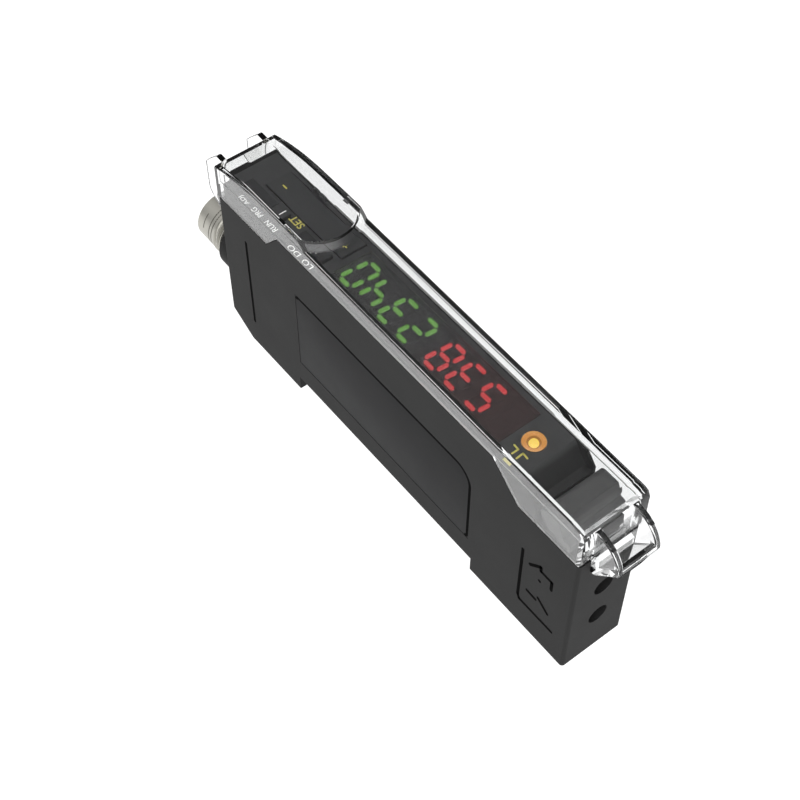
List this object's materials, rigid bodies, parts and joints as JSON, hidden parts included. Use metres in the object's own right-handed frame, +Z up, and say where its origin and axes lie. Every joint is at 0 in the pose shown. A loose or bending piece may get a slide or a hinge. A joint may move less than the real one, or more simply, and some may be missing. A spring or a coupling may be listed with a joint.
{
  "type": "fibre optic sensor amplifier",
  "caption": "Slim rail-mounted fibre optic sensor amplifier with digit displays, switches and fibre clamp under a hinged clear dust cover, and a round plug at the rear.",
  "frame": {"origin": "middle of the rail seat, the ceiling of the recess between the feet, on the middle plane", "axes": "+X towards the fibre ports, +Y across the width, +Z up through the display face"},
  "size_m": [0.0865, 0.01, 0.0328],
  "materials": {
    "housing": "fine moulded charcoal",
    "face": "glossy black",
    "pane": "smoked clear",
    "module": "matt black",
    "green_light": "lit green",
    "red_light": "lit red",
    "amber_light": "lit amber",
    "board": "solder mask",
    "switch": "plain moulded",
    "inner_plastic": "plain moulded",
    "optic": "smooth",
    "steel": "bright",
    "lever": "satin dark grey",
    "button": "satin black",
    "clear": "polished clear",
    "plug": "satin nickel grey",
    "contact": "gold flash"
  },
  "bodies": {
    "housing": {"case": "housing", "deck": "face", "display_window": "pane", "green_display": "module", "red_display": "module", "green_segments": "green_light", "red_segments": "red_light", "output_led": "amber_light", "display_board": "board", "main_board": "board", "mode_switch_body": "switch", "operate_switch_body": "switch", "tact_switches": "switch", "port_block": "inner_plastic", "emitter": "optic", "receiver": "optic", "clamp_pin": "steel", "connector_shell": "plug", "connector_insert": "inner_plastic", "connector_pins": "contact", "latch_spring": "steel"},
    "cover": {"dust_cover": "clear"},
    "lever": {"clamp_lever": "lever"},
    "clamp": {"clamp_plate": "steel"},
    "rocker": {"rocker_button": "button"},
    "mode_switch": {"mode_knob": "button"},
    "operate_switch": {"operate_knob": "button"},
    "catch": {"rail_latch": "housing"}
  },
  "joints": [
    {"name": "cover_hinge", "type": "hinge", "parent": "housing", "child": "cover", "pos_m": [-0.0375, 0, 0.0195], "axis": [0, -1, 0], "range_deg": [0, 110]},
    {"name": "lever_hinge", "type": "hinge", "parent": "housing", "child": "lever", "pos_m": [0.0312, 0, 0.0234], "axis": [0, -1, 0], "range_deg": [0, 75]},
    {"name": "clamp_slide", "type": "slide", "parent": "housing", "child": "clamp", "axis": [0, 0, 1], "range_m": [0, 0.0003]},
    {"name": "rocker_tilt", "type": "hinge", "parent": "housing", "child": "rocker", "pos_m": [-0.022, 0.0014, 0.0242], "axis": [0, 1, 0], "range_deg": [-2.5, 2.5], "stiffness_Nm_per_rad": 0.02},
    {"name": "mode_slide", "type": "slide", "parent": "housing", "child": "mode_switch", "axis": [-1, 0, 0], "range_m": [0, 0.0059]},
    {"name": "operate_slide", "type": "slide", "parent": "housing", "child": "operate_switch", "axis": [-1, 0, 0], "range_m": [0, 0.003]},
    {"name": "catch_slide", "type": "slide", "parent": "housing", "child": "catch", "axis": [-1, 0, 0], "range_m": [0, 0.002], "stiffness_N_per_m": 1500, "deforming": ["latch_spring"]}
  ],
  "couplings": [
    {"joint": "lever_hinge", "follows": "cover_hinge", "ratio": 0.6818},
    {"joint": "clamp_slide", "follows": "cover_hinge", "m_per_rad": 0.000156}
  ]
}
